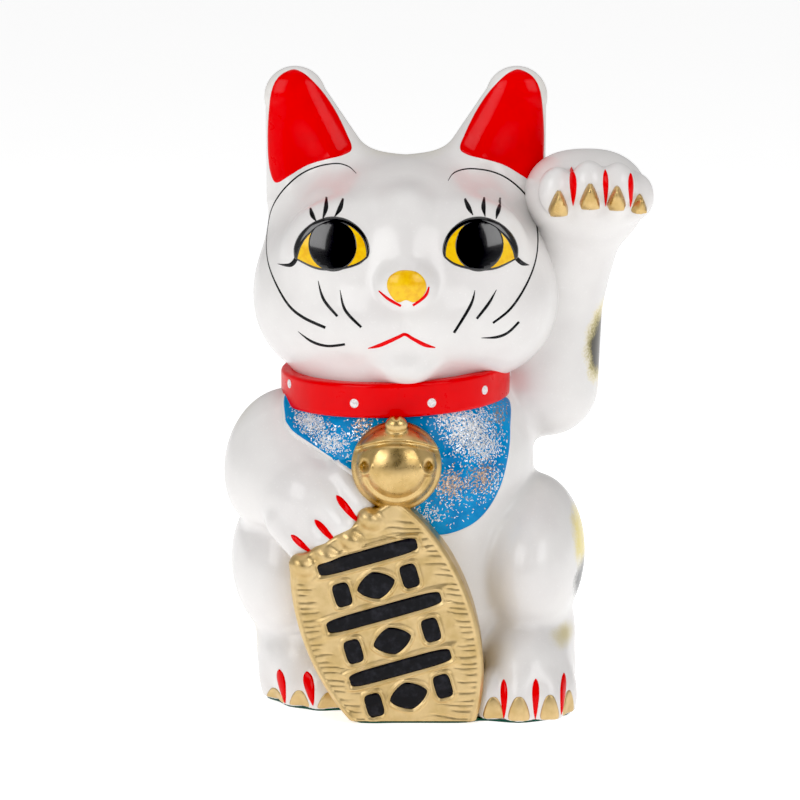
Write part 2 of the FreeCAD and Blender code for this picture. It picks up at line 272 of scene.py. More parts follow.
COIN = (-7.1, 39.5)
COIN_LEAN = math.radians(21.5)
COIN_FRONT = -58.0
COIN_HALF = (32.6, 57.0)
PAW_EDGE = (-14.5, 81.5)        # the coin ends under the paw, along a line through here
PAW_SLOPE = math.radians(33)
MARK_LEAN = math.radians(16)
COIN_TOES = ((-13.4, 79.6), (-20.6, 71.6), (-29.8, 65.2), (-39.0, 61.6))
MARK_ROWS = ((27.0, 19.5), (4.5, 22.5), (-18.0, 20.0))      # height and half length of each bar


def leaned(lean, x, z):
    """Own upright axes of something that leans on the coin."""
    c, s = math.cos(lean), math.sin(lean)
    return c * (x - COIN[0]) + s * (z - COIN[1]), -s * (x - COIN[0]) + c * (z - COIN[1])


def coin_marks():
    """Plain pattern of the coin: three bars, each over a lozenge between two blocks."""
    marks = []
    for v, half in MARK_ROWS:
        marks.append((0, v, half, 3.0, 5.0))
        marks.append((0, v - 11.5, 7.4, 5.4, 1.45))
        for side in (-1, 1):
            marks.append((side * half * 0.68, v - 11.5, 3.3, 4.7, 4.0))
    return marks


def mark_distance(u, v, mark):
    """Distance to one mark, a superellipse with its middle, half sizes and power."""
    x, y, a, b, power = mark
    s, t = np.abs((u - x) / a), np.abs((v - y) / b)
    near = np.maximum((s ** power + t ** power) ** (1 / power), 1e-3)
    steep = near ** (1 - power) * np.hypot(s ** (power - 1) / a, t ** (power - 1) / b)
    return (near - 1) / np.maximum(steep, 0.02)


def coin_relief(p, full, past_paw):
    """Height of the coin's face: edge lip, chisel strokes, and a ridge round each mark."""
    u, v = leaned(MARK_LEAN, p[0], p[2])
    row = p[2] + 0.5 * np.sin(p[0] * 0.31 + 1) + 0.35 * np.sin(p[2] * 0.83)
    inner = 0.74 + 0.06 * np.sin(row * 1.37) + 0.05 * np.sin(row * 2.9 + u * 0.1)
    strokes = np.maximum(np.sin(row * 2 * math.pi / 2.4), 0) ** 1.5 * step_up(full - inner, 0.07)
    scratches = np.maximum(np.sin((v + 0.12 * u) * 2.6 + 1.2 * np.sin(u * 0.4)), 0) ** 2
    scratches = scratches * step_up(v - 30, 3)
    relief = -0.27 * strokes * step_up(0.95 - full, 0.03) * step_up(-6 - past_paw, 4)
    relief -= 0.13 * scratches * step_up(0.86 - full, 0.05) * step_up(-5 - past_paw, 4)
    relief += 0.45 * bump(full - 0.96, 0.018)
    nearest = np.full(p.shape[1], 99.0)
    for mark in coin_marks():
        nearest = np.minimum(nearest, mark_distance(u, v, mark))
    return relief + 0.75 * bump(nearest - 0.95, 0.55) - 0.2 * step_up(-nearest, 1)


def coin_form(p):
    u, v = leaned(COIN_LEAN, p[0], p[2])
    full = np.hypot(u / COIN_HALF[0], v / COIN_HALF[1])
    past_paw = (p[2] - PAW_EDGE[1]) * math.cos(PAW_SLOPE) - (p[0] - PAW_EDGE[0]) * math.sin(PAW_SLOPE)
    across = np.maximum((full - 1) * 36, past_paw) + 2
    front = COIN_FRONT - p[1] - np.where(p[1] < -50, coin_relief(p, full, past_paw), 0)
    d = rounded(across, np.maximum(front, p[1] + 36) + 2, 2)
    for x, z in COIN_TOES:
        d = soft(d, egg(p, (x, -55.4, z), (5.4, 5.0, 4.3), 33), 1.6)
    return np.maximum(d, FELT - p[2])


# ---- meshes from forms ----
CORNERS = np.array([(i, j, k) for i in (0, 1) for j in (0, 1) for k in (0, 1)])
EDGES = [(a, b) for a in range(8) for b in range(a + 1, 8) if np.abs(CORNERS[a] - CORNERS[b]).sum() == 1]
BLOCK = 4


def slopes(form, p, gap=0.15):
    """Gradient of a form at points, by central differences."""
    out = np.empty_like(p)
    for i in range(3):
        shift = np.zeros((3, 1))
        shift[i] = gap
        out[i] = (form(p + shift) - form(p - shift)) / (2 * gap)
    return out


def unit(vectors):
    return vectors / np.maximum(np.linalg.norm(vectors, axis=0), 1e-6)


def settle(form, p, rounds=3, limit=1.0):
    """Move points onto the surface of a form."""
    for _ in range(rounds):
        g = slopes(form, p)
        step = form(p) / np.maximum((g * g).sum(0), 1e-3)
        p = p - g * np.clip(step, -limit, limit)
    return p


def sampled(form, low, step, counts):
    """Form values on a grid, worked out finely only near the surface."""
    coarse = [np.arange(count // BLOCK) * BLOCK + (BLOCK - 1) / 2 for count in counts]
    middles = [low[i] + coarse[i] * step for i in range(3)]
    grid = np.stack([g.ravel() for g in np.meshgrid(*middles, indexing="ij")])
    rough = form(grid).reshape([c // BLOCK for c in counts])
    near = np.abs(rough) < BLOCK * step * 1.6
    field = rough
    for axis in range(3):
        field = np.repeat(field, BLOCK, axis)
        near = np.repeat(near, BLOCK, axis)
    places = np.stack(np.nonzero(near))
    field[near] = form(places * step + np.array(low, float)[:, None])
    return field


def surface(form, low, high, step):
    """Quad mesh of a form: one vertex per crossed grid cell, moved onto the surface."""
    counts = [int(math.ceil((high[i] - low[i]) / step / BLOCK)) * BLOCK for i in range(3)]
    field = sampled(form, low, step, counts)
    inside = field < 0
    total = np.zeros([c - 1 for c in counts], np.int8)
    for corner in CORNERS:
        total += inside[tuple(slice(corner[i], counts[i] - 1 + corner[i]) for i in range(3))]
    cells = np.nonzero((total > 0) & (total < 8))
    cell_of = -np.ones([c - 1 for c in counts], np.int64)
    cell_of[cells] = np.arange(len(cells[0]))
    cells = np.stack(cells)
    values = np.stack([field[tuple(cells + corner[:, None])] for corner in CORNERS])
    point, hits = np.zeros(cells.shape), np.zeros(cells.shape[1])
    for a, b in EDGES:
        cross = (values[a] < 0) != (values[b] < 0)
        t = values[a] / np.where(cross, values[a] - values[b], 1)
        point += np.where(cross, CORNERS[a][:, None] + (CORNERS[b] - CORNERS[a])[:, None] * t, 0)
        hits += cross
    point = (cells + point / hits) * step + np.array(low, float)[:, None]
    faces = []
    for axis in range(3):
        u, v = (axis + 1) % 3, (axis + 2) % 3
        here = [slice(1, c - 1) for c in counts]
        there = list(here)
        here[axis] = slice(0, counts[axis] - 1)
        there[axis] = slice(1, counts[axis])
        first, second = inside[tuple(here)], inside[tuple(there)]
        at = np.stack(np.nonzero(first != second))
        at[u] += 1
        at[v] += 1
        quad = []
        for du, dv in ((-1, -1), (0, -1), (0, 0), (-1, 0)):
            spot = at.copy()
            spot[u] += du
            spot[v] += dv
            quad.append(cell_of[tuple(spot)])
        quad = np.stack(quad, 1)
        outward = inside[tuple(at)]
        faces.append(np.where(outward[:, None], quad, quad[:, ::-1]))
    return settle(form, point, 3, step), np.concatenate(faces)


def in_scene(name, data):
    made = bpy.data.objects.new(name, data)
    bpy.context.scene.collection.objects.link(made)
    return made


def metres(name, points, faces, finish, body="figurine"):
    """Blender object from points in mm; it rides on a body."""
    mesh = bpy.data.meshes.new(name)
    sizes = np.array([len(face) for face in faces], np.int32)
    mesh.vertices.add(len(points))
    mesh.vertices.foreach_set("co", (np.asarray(points, float) * MM).astype(np.float32).ravel())
    mesh.loops.add(int(sizes.sum()))
    mesh.loops.foreach_set("vertex_index", np.concatenate(faces).astype(np.int32))
    mesh.polygons.add(len(sizes))
    mesh.polygons.foreach_set("loop_start", np.cumsum(sizes, dtype=np.int32) - sizes)
    mesh.update(calc_edges=True)
    mesh.polygons.foreach_set("use_smooth", np.ones(len(sizes), bool))
    mesh.validate()
    mesh.update()
    mesh.materials.append(finish.material)
    piece = in_scene(name, mesh)
    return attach(piece, body)


def skin(name, form, low, high, step, finish, body="figurine"):
    """Skin of a form, with normals taken from the form itself."""
    points, faces = surface(form, low, high, step)
    piece = metres(name, points.T, faces, finish, body)
    normals = unit(slopes(form, points, 0.35))
    piece.data.normals_split_custom_set_from_vertices(normals.T.tolist())
    return piece


# ---- enamel: thin closed shapes laid on a form ----
SUNK = 0.35                     # how far the underside of the enamel lies in the clay


def smooth_path(points, gap, closed=False):
    """Evenly spaced points on a smooth curve through a few given ones."""
    pts = np.array(points, float)
    count = len(pts)
    out = []
    spans = count if closed else count - 1
    for i in range(spans):
        around = (i - 1, i, i + 1, i + 2)
        a, b, c, d = (pts[k % count if closed else min(max(k, 0), count - 1)] for k in around)
        n = max(2, int(math.ceil(np.linalg.norm(c[:2] - b[:2]) / gap)))
        for t in np.arange(n) / n:
            out.append(0.5 * (2 * b + (c - a) * t + (2 * a - 5 * b + 4 * c - d) * t ** 2
                              + (3 * b - a - 3 * c + d) * t ** 3))
    if not closed:
        out.append(pts[-1])
    return np.array(out)


def front_of(form, x, z, start=-85.0):
    """Points and outward normals where level lines from the front meet a form."""
    p = np.stack([x, np.full(len(x), start), z])
    best, nearest = p.copy(), np.full(len(x), 1e9)
    for _ in range(90):
        d = form(p)
        closer = d < nearest
        nearest = np.where(closer, d, nearest)
        best = np.where(closer, p, best)
        p = p + np.stack([0 * d, np.clip(d * 0.8, 0, 12), 0 * d])
        p[1] = np.minimum(p[1], 70)
    best = settle(form, best, 3, 2.0)
    return best, unit(slopes(form, best, 0.5))


def closed_shell(top, bottom, patches):
    """Top and bottom copies of the same faces, joined by walls at their rim."""
    count = top.shape[1]
    used = {}
    for patch in patches:
        for a, b in zip(patch, patch[1:] + patch[:1]):
            used[(a, b)] = True
    faces = [list(patch) for patch in patches]
    faces += [[v + count for v in reversed(patch)] for patch in patches]
    faces += [[b, a, a + count, b + count] for (a, b) in used if (b, a) not in used]
    return np.concatenate([top, bottom], 1).T, faces


def filled(outline, form, thick=0.18, edge=0.6, gap=1.3, rim_gap=0.8):
    """A painted area: a smooth closed outline of x, z points laid on a form from the front."""
    rim = smooth_path(outline, rim_gap, closed=True)
    low, high = rim.min(0), rim.max(0)
    columns, rows = np.arange(low[0], high[0], gap), np.arange(low[1], high[1], gap)
    grid = np.stack(np.meshgrid(columns, rows), -1).reshape(-1, 2)
    grid = np.concatenate([grid, inner_ring(rim, edge * 0.5), inner_ring(rim, edge)])
    clear = rim_distance(grid, rim)
    grid = grid[(clear > edge * 0.3) & within(grid, rim)]
    points = [Vector(q) for q in np.concatenate([rim, grid])]
    made = delaunay_2d_cdt(points, [], [list(range(len(rim)))], 1, 1e-5)
    flat = np.array([(v.x, v.y) for v in made[0]])
    triangles = [list(t) for t in made[2]]
    rise = np.clip(rim_distance(flat, rim) / edge, 0, 1)
    rise = thick * np.sqrt(np.clip(1 - (1 - rise) ** 2, 0, 1))
    return laid(form, flat, rise, triangles)


def laid(form, flat, rise, patches):
    """Closed shell on a form, from x, z points, how far each stands out, and the faces."""
    place, normal = front_of(form, flat[:, 0], flat[:, 1])
    return facing_out(closed_shell(place + normal * rise, place - normal * SUNK, patches))


def facing_out(shell):
    """Turn the shell over if its first face looks into the clay."""
    points, faces = shell
    a, b, c = (points[i] for i in faces[0][:3])
    half = len(points) // 2
    outward = points[faces[0][0]] - points[faces[0][0] + half]
    if np.dot(np.cross(b - a, c - a), outward) < 0:
        faces = [f[::-1] for f in faces]
    return points, faces


def square_to(run):
    """Unit vectors square to some flat ones."""
    length = np.maximum(np.linalg.norm(run, axis=1), 1e-9)
    return np.stack([-run[:, 1], run[:, 0]], 1) / length[:, None]


def inner_ring(rim, inset):
    """A closed outline drawn in by a distance."""
    ahead, behind = np.roll(rim, -1, 0), np.roll(rim, 1, 0)
    area = np.sum(rim[:, 0] * ahead[:, 1] - ahead[:, 0] * rim[:, 1])
    return rim + square_to(ahead - behind) * inset * np.sign(area)


def rim_distance(points, rim):
    """Distance from each point to a closed outline."""
    nearest = np.full(len(points), 1e9)
    for a, b in zip(rim, np.roll(rim, -1, 0)):
        run = b - a
        t = np.clip((points - a) @ run / max(run @ run, 1e-12), 0, 1)
        nearest = np.minimum(nearest, np.linalg.norm(points - a - t[:, None] * run, axis=1))
    return nearest


def within(points, rim):
    inside = np.zeros(len(points), bool)
    for a, b in zip(rim, np.roll(rim, -1, 0)):
        spans = (a[1] > points[:, 1]) != (b[1] > points[:, 1])
        rise = b[1] - a[1] if abs(b[1] - a[1]) > 1e-12 else 1e-12
        inside ^= spans & (points[:, 0] < a[0] + (points[:, 1] - a[1]) / rise * (b[0] - a[0]))
    return inside


def brushed(points, width, form, thick=0.22, ends=(0.15, 0.15)):
    """A brush stroke: (x, z) or (x, z, share of the width) points laid on a form from the front."""
    shares = [q[2] if len(q) > 2 else 1.0 for q in points]
    if len(points[0]) == 2:
        shares[0], shares[-1] = ends
    line = smooth_path([(q[0], q[1], s) for q, s in zip(points, shares)], 0.7)
    side = square_to(np.gradient(line[:, :2], axis=0))
    across = np.linspace(-1, 1, 7)
    half = width / 2 * np.maximum(line[:, 2], 0.06)
    flat = line[:, None, :2] + side[:, None] * (across[None, :, None] * half[:, None, None])
    rise = np.outer(np.minimum(1, half / 0.4), thick * np.sqrt(1 - across ** 2 * 0.97)).ravel()
    n, m = len(line), len(across)
    quads = []
    for i in range(n - 1):
        for j in range(m - 1):
            a = i * m + j
            quads.append([a, a + 1, a + m + 1, a + m])
    return laid(form, flat.reshape(-1, 2), rise, quads)


def enamel(name, shapes, finish):
    """One object from several painted shapes."""
    points, faces, start = [], [], 0
    for shape_points, shape_faces in shapes:
        points.append(shape_points)
        faces += [[v + start for v in f] for f in shape_faces]
        start += len(shape_points)
    return metres(name, np.concatenate(points), faces, finish)


# ---- shader building blocks ----
class Nodes:
    """Adds, sets and links the nodes of a material or a world."""

    def __init__(self, owner):
        owner.use_nodes = True
        self.tree = owner.node_tree

    def node(self, kind, **values):
        made = self.tree.nodes.new(kind)
        for key, value in values.items():
            setattr(made, key, value)
        return made

    def link(self, source, target):
        self.tree.links.new(source, target)

    def feed(self, made, **inputs):
        """Set or link a node's inputs, by name or as i0, i1 and so on."""
        for key, value in inputs.items():
            numbered = key[0] == "i" and key[1:].isdigit()
            socket = made.inputs[int(key[1:]) if numbered else key]
            if isinstance(value, bpy.types.NodeSocket):
                self.link(value, socket)
            else:
                socket.default_value = value
        return made.outputs


class Finish(Nodes):
    """A material with helpers for what the finishes share."""

    def __init__(self, name, color, rough, metal=0.0, coat=0.0, coat_rough=0.05, specular=0.5):
        self.material = bpy.data.materials.new(name)
        super().__init__(self.material)
        self.shader = self.tree.nodes["Principled BSDF"]
        self.set("Base Color", (*color, 1))
        self.set("Roughness", rough)
        self.set("Metallic", metal)
        self.set("Coat Weight", coat)
        self.set("Coat Roughness", coat_rough)
        self.set("Specular IOR Level", specular)
        self.place = self.node("ShaderNodeTexCoord").outputs["Object"]

    def set(self, socket, value):
        self.shader.inputs[socket].default_value = value

    def noise(self, size, detail):
        """Noise from 0 to 1 with features of about this size in mm."""
        made = self.node("ShaderNodeTexNoise")
        return self.feed(made, Vector=self.place, Scale=1 / (size * MM), Detail=detail, Roughness=0.55)["Fac"]

    def ramp(self, value, low, high, out_low=0.0, out_high=1.0, smooth=True):
        made = self.node("ShaderNodeMapRange", interpolation_type="SMOOTHSTEP" if smooth else "LINEAR")
        return self.feed(made, i0=value, i1=low, i2=high, i3=out_low, i4=out_high)[0]

    def math(self, kind, a, b):
        return self.feed(self.node("ShaderNodeMath", operation=kind), i0=a, i1=b)[0]

    def mix(self, share, a, b):
        """Colour mix: a where share is 0, b where it is 1."""
        made = self.node("ShaderNodeMix", data_type="RGBA")
        colors = [(*c, 1) if isinstance(c, tuple) else c for c in (a, b)]
        return self.feed(made, i0=share, i6=colors[0], i7=colors[1])[2]

    def color(self, source):
        self.link(source, self.shader.inputs["Base Color"])

    def mottled(self, size, detail, low, high, a, b, most=1.0):
        """Colour that drifts with noise from a below low to b above high."""
        share = self.ramp(self.noise(size, detail), low, high, 0, most)
        self.color(self.mix(share, a, b))

    def gloss(self, size, detail, low, high):
        """Roughness that drifts with noise between two values."""
        source = self.ramp(self.noise(size, detail), 0.3, 0.7, low, high, smooth=False)
        self.link(source, self.shader.inputs["Roughness"])

    def bump(self, size, detail, depth, strength):
        """Bump from noise, depth in mm."""
        made = self.node("ShaderNodeBump")
        height = self.noise(size, detail)
        out = self.feed(made, Strength=strength, Distance=depth * MM, Height=height)[0]
        self.link(out, self.shader.inputs["Normal"])

    def clear_from_behind(self):
        """Nothing shows of the back of the surface, so the object can be seen through it."""
        behind = self.node("ShaderNodeNewGeometry").outputs["Backfacing"]
        clear = self.node("ShaderNodeBsdfTransparent").outputs[0]
        both = self.feed(self.node("ShaderNodeMixShader"), i0=behind, i1=self.shader.outputs[0], i2=clear)
        self.link(both[0], self.tree.nodes["Material Output"].inputs["Surface"])

    def near(self, centre, radii, wobble):
        """Distance from a place in mm, counted in its own radii, with an uneven edge."""
        out = self.place
        for kind, sizes in (("SUBTRACT", centre), ("DIVIDE", radii)):
            made = self.node("ShaderNodeVectorMath", operation=kind)
            out = self.feed(made, i0=out, i1=[size * MM for size in sizes])[0]
        length = self.feed(self.node("ShaderNodeVectorMath", operation="LENGTH"), i0=out)
        return self.math("ADD", length["Value"], wobble)


OCHRE = (0.62, 0.52, 0.22)
SPOT_YELLOW = (0.8, 0.64, 0.1)
SPOT_BLACK = (0.018, 0.018, 0.02)
# airbrushed spots: centre, radii of the yellow cloud, radii of the black core
SPOTS = (((78, 2, 136), (11, 20, 19), (9.5, 19, 15)),
         ((73, -14, 65), (12, 36, 17), None),
         ((73.5, -14, 47), None, (11, 33, 13)),
         ((-20, 50, 86), (26, 16, 22), (17, 14, 13)),
         ((24, 52, 60), (20, 18, 18), (12, 14, 11)),
         ((36, 48, 40), (17, 14, 15), (10, 12, 9)),
         ((-22, 34, 190), (20, 16, 17), (12, 14, 9)),
         ((62, 20, 196), (13, 11, 13), (7, 8, 7)))
# ochre tint in creases and on the head: centre, radii, strength. On the top of the head and the backs of the
# ears it is the cat's own airbrushed spray; in the creases over the feet and at the joins of the arms it is
# painted shade.
OCHRE_SPRAY_AND_SHADE = (((62, -30, 28), (13, 20, 5.5), 0.8), ((-62, -8, 22), (10, 20, 12), 0.25),
        ((0, 10, 212), (30, 22, 12), 0.35), ((56, 16, 104), (18, 22, 16), 0.3),
        ((88, 0, 186), (8, 18, 26), 0.2), ((-62, -6, 112), (12, 16, 12), 0.18),
        ((50, 5, 230), (10, 14, 22), 0.12), ((-50, 5, 230), (10, 14, 22), 0.12))


def white_glaze():
    f = Finish("white_glaze", (0.83, 0.81, 0.795), 0.34, coat=0.45, coat_rough=0.1, specular=0.35)
    color = f.mix(f.ramp(f.noise(26, 3), 0.35, 0.7), (0.79, 0.772, 0.758), (0.745, 0.722, 0.712))
    color = f.mix(f.ramp(f.noise(1.1, 2), 0.6, 0.75, 0, 0.25), color, (0.9, 0.89, 0.88))
    wobble = f.ramp(f.noise(9, 3), 0.2, 0.8, -0.16, 0.16, smooth=False)
    spray = f.ramp(f.noise(0.8, 1), 0.3, 0.7, -0.05, 0.05, smooth=False)
    edge = f.math("ADD", wobble, spray)
    # ochre tint: airbrushed spray on the head and ears, painted shade in the creases and at the arm joins
    for centre, radii, strength in OCHRE_SPRAY_AND_SHADE:
        share = f.ramp(f.near(centre, radii, edge), 1.0, 0.1, 0, strength)
        color = f.mix(share, color, OCHRE)
    for centre, halo, core in SPOTS:
        if halo:
            share = f.ramp(f.near(centre, halo, edge), 1.0, 0.55, 0, 0.95)
            color = f.mix(share, color, SPOT_YELLOW)
        if core:
            share = f.ramp(f.near(centre, core, edge), 1.05, 0.6, 0, 0.97)
            color = f.mix(share, color, SPOT_BLACK)
    f.color(color)
    f.gloss(14, 3, 0.28, 0.4)
    f.bump(5.5, 2, 0.06, 0.5)
    return f


def painted(name, base, rough, mottle, gloss=None, relief=None, **look):
    """A coat whose colour, roughness and fine relief drift with noise.

    mottle, gloss and relief hold what Finish.mottled, gloss and bump take.
    """
    f = Finish(name, base, rough, **look)
    f.mottled(*mottle)
    if gloss:
        f.gloss(*gloss)
    if relief:
        f.bump(*relief)
    return f


def gold_paint(name, light, dark, smoothest):
    mottle = (7, 4, 0.35, 0.75, light, dark)
    gloss = (2.2, 3, smoothest, smoothest + 0.14)
    return painted(name, light, smoothest, mottle, gloss, (0.9, 2, 0.03, 0.6), metal=0.9)


def glitter(name, color, metal):
    mottle = (1.4, 2, 0.3, 0.7, color, tuple(c * 0.7 for c in color))
    return painted(name, color, 0.22, mottle, metal=metal, specular=0.8)


WHITE = white_glaze()
RED = painted("red_enamel", (0.76, 0.002, 0.004), 0.36,
              (9, 4, 0.4, 0.75, (0.78, 0.002, 0.004), (0.66, 0.004, 0.006), 0.5),
              (4, 3, 0.26, 0.42), (3.5, 3, 0.09, 0.6), coat=0.16, coat_rough=0.12, specular=0.12)
BLACK = painted("black_enamel", (0.002, 0.002, 0.003), 0.2,
                (6, 3, 0.4, 0.8, (0.001, 0.001, 0.002), (0.006, 0.006, 0.008)),
                None, (4, 2, 0.03, 0.5), coat=1.0, coat_rough=0.06, specular=0.4)
INK = painted("line_ink", (0.004, 0.004, 0.005), 0.45,
              (2.2, 4, 0.5, 0.75, (0.003, 0.003, 0.004), (0.045, 0.045, 0.05)),
              (2, 2, 0.3, 0.5), coat=0.1, specular=0.25)
COIN_BLACK = painted("coin_black", (0.004, 0.004, 0.006), 0.5,
                     (3, 4, 0.45, 0.8, (0.003, 0.003, 0.005), (0.016, 0.016, 0.022)),
                     None, (1.6, 3, 0.08, 0.7), coat=0.15, coat_rough=0.3, specular=0.25)
YELLOW = painted("yellow_enamel", (0.85, 0.5, 0.02), 0.34,
                 (2.6, 4, 0.4, 0.7, (0.88, 0.55, 0.012), (0.8, 0.42, 0.008)),
                 None, (2, 3, 0.06, 0.6), coat=0.35, specular=0.3)
BLUE = painted("blue_enamel", (0.004, 0.24, 0.58), 0.4,
               (11, 4, 0.35, 0.7, (0.004, 0.28, 0.62), (0.002, 0.18, 0.46)),
               (3, 3, 0.28, 0.46), (2.4, 3, 0.08, 0.6), coat=0.15, coat_rough=0.15, specular=0.15)
GOLD = gold_paint("gold_paint", (0.67, 0.5, 0.255), (0.54, 0.385, 0.165), 0.32)
BRIGHT_GOLD = gold_paint("bright_gold", (0.67, 0.475, 0.21), (0.51, 0.345, 0.13), 0.24)
FLAKE_WHITE = glitter("flake_white", (0.9, 0.92, 0.95), 0.1)
FLAKE_SILVER = glitter("flake_silver", (0.7, 0.73, 0.78), 0.8)
FLAKE_COPPER = glitter("flake_copper", (0.62, 0.44, 0.32), 0.7)
DOT = painted("dot_white", (0.8, 0.76, 0.76), 0.3,
              (0.8, 2, 0.4, 0.7, (0.85, 0.82, 0.82), (0.6, 0.55, 0.56)), coat=0.3)
FELT_GREEN = painted("green_felt", (0.012, 0.11, 0.07), 0.95,
                     (0.5, 3, 0.3, 0.7, (0.006, 0.05, 0.035), (0.02, 0.11, 0.075)),
                     None, (0.35, 3, 0.25, 0.9), specular=0.1)
FELT_GREEN.set("Sheen Weight", 0.4)
RUBBER = painted("rubber", (0.62, 0.6, 0.52), 0.62,
                 (5, 3, 0.3, 0.7, (0.64, 0.62, 0.54), (0.55, 0.53, 0.46)),
                 None, (0.6, 2, 0.05, 0.6), specular=0.35)


# ---- glazed skins ----
def make_skins():
    body = skin("body_skin", body_form, (-74, -64, 0), (97, 66, 218), BODY_STEP, WHITE)
    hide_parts("body_shell", "left_haunch", "right_haunch", "left_foot", "right_foot",
                "raised_arm", "holding_arm", "tail")
    head = skin("head_skin", head_form, (-62, -60, 122), (62, 48, 248), HEAD_STEP, WHITE)
    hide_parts("head_shell", "left_ear", "right_ear")


# ---- face ----
# Marks are x, z in mm.  Eyes, pupils and ears are given for the cat's left, at x above 0.
EYE_UPPER = ((41.5, 176.6), (41, 180.6), (38.9, 184.9), (35.2, 188.6), (30.8, 190.9), (27, 191.6),
             (22.6, 190.9), (18.4, 188.4), (15.5, 184.8), (14.4, 181), (14.6, 178.2))
EYE_LOWER = ((14.6, 178.2), (17.8, 175.8), (22.4, 174.2), (28.2, 173.3), (34.2, 173.7), (41.5, 176.6))
LID_SHARES = (0.5, 0.9, 1.0, 0.95, 0.82, 0.74, 0.68, 0.62, 0.56, 0.5, 0.3)
PUPIL = (27.6, 182.2)
PUPIL_RADIUS = 9.3


def pupil(side):
    ring = [(side * PUPIL[0] + PUPIL_RADIUS * math.cos(a), PUPIL[1] + PUPIL_RADIUS * 1.04 * math.sin(a))
            for a in np.arange(12) * math.pi / 6]
    return filled(ring, face_form, 0.3, 0.8, 1.2)


def sided(points, side):
    """Marks on the cat's left (1) or mirrored to its right (-1)."""
    return [(side * q[0],) + tuple(q[1:]) for q in points]


def paint_eyes():
    yellow, black, lines = [], [], []
    for side in (1, -1):
        yellow.append(filled(sided(EYE_UPPER + EYE_LOWER[1:-1], side), face_form, 0.14, 0.5))
        black.append(pupil(side))
        upper = [(*q, s) for q, s in zip(EYE_UPPER, LID_SHARES)]
        lines.append(brushed(sided(upper, side), 2.9, face_form, 0.4))
        lines.append(brushed(sided(EYE_LOWER, side), 0.9, face_form, 0.34, (0.8, 0.8)))
    enamel("eye_yellow", yellow, YELLOW)
    enamel("eye_pupils", black, BLACK)
    enamel("eye_lines", lines, BLACK)


LASHES = (((36, 196.8), (34.8, 194.4), (33.9, 191.6)), ((29.6, 198.6), (29.2, 195.8), (29.8, 192.6)),
          ((22.2, 198.6), (23.6, 195.8), (25.2, 193.2)), ((-36.1, 195), (-35.3, 192.8), (-33.8, 190.8)),
          ((-30.1, 198.6), (-30.2, 195.4), (-31.4, 191.6)), ((-23.8, 198.6), (-24.9, 195.4), (-26.9, 192.6)))
FLICKS = (((41.5, 176.8), (44, 174.4), (46.8, 173.2)), ((-41.4, 176.6), (-43.6, 173.9), (-48.8, 173.1)))
WHISKERS = (((25.9, 165.6), (24.3, 160.3), (18, 150.2)), ((34.1, 165.4), (31.2, 160.5), (26.6, 155)),
            ((28.4, 147.3), (34.2, 147), (38.6, 148.4), (42.8, 152.2)),
            ((-33.1, 168.8), (-31, 161.9), (-25.8, 156)), ((-24.8, 165.8), (-22.9, 158.6), (-16.8, 152.4)),
            ((-40.9, 148.6), (-35.6, 145), (-29.8, 143.8), (-23, 145.2)))
# x, z and share of the full width, less where the side of the head turns away
RIMS = (((16, 204, 0.2), (18.4, 206.2, 0.35), (24.6, 207.1, 0.45), (31.9, 205.9, 0.5), (39.3, 202.6, 0.55),
         (45.6, 197.2, 0.55), (49.2, 190.8, 0.5), (50.6, 182, 0.5), (49.2, 173.8, 0.6), (45.2, 165.4, 0.8),
         (39.4, 157.6, 0.95), (32.8, 152.8, 0.9)),
        ((-19, 206, 0.2), (-22.2, 208, 0.35), (-27.2, 208.8, 0.45), (-34.2, 207.2, 0.5), (-41.5, 203.6, 0.55),
         (-47.6, 197.8, 0.5), (-51.8, 190.6, 0.35), (-53.6, 182, 0.3), (-53.4, 175.6, 0.35),
         (-51.2, 169, 0.55), (-45.2, 159.4, 0.9), (-39.2, 154.6, 1.1), (-30.4, 151.2, 1.1)))


def paint_face_lines():
    marks = [brushed(lash, 1.7, face_form, 0.25, (0.45, 0.15)) for lash in LASHES]
    marks += [brushed(flick, 1.5, face_form, 0.25, (1.0, 0.1)) for flick in FLICKS]
    marks += [brushed(whisker, 1.1, head_form, 0.2, (0.2, 0.9)) for whisker in WHISKERS]
    marks += [brushed(rim, 1.05, head_form, 0.2) for rim in RIMS]
    enamel("face_lines", marks, INK)


NOSE = ((-7.2, 168.6), (-6.2, 172), (-3, 174.1), (0.3, 174.5), (4.1, 173.7), (7, 170.8), (7.6, 167),
        (5.6, 163.8), (2.8, 162.2), (0, 163.2), (-3, 162.2), (-5.8, 164.8))
NOSTRILS = (((-10.2, 166.2), (-6.6, 163.4), (-1.9, 160.8)), ((8.6, 168), (7.2, 164.6), (2.6, 161)))
MOUTH = ((-14.3, 144.1, 0.2), (-9.8, 145.6, 1), (-3, 148.9, 0.9), (-0.4, 150, 0.8), (2.6, 148.3, 0.9),
         (7.1, 145.8, 1), (11, 144.6, 0.3))
EAR_RED = ((44, 244), (48.8, 241.4), (51.6, 236.2), (52.9, 227.2), (53.4, 217.2), (53, 208), (51.6, 202.3),
           (49.5, 200.8), (44.7, 203.8), (38, 207.6), (30.4, 210.2), (23.8, 211.9), (20.8, 214.1),
           (22.8, 219.7), (27, 228.1), (31.9, 235.4), (36.8, 240.8), (40.5, 243.4))


def paint_nose_mouth_ears():
    enamel("nose_yellow", [filled(NOSE, face_form, 0.22, 0.7, 1.0)], YELLOW)
    reds = [brushed(mark, 1.2, face_form, 0.25, (0.5, 0.8)) for mark in NOSTRILS]
    reds.append(brushed(MOUTH, 1.5, face_form, 0.25))
    enamel("mouth_red", reds, RED)
    ears = [filled(sided(EAR_RED, side), head_form, 0.25, 0.8, 1.2) for side in (1, -1)]
    enamel("ear_red", ears, RED)


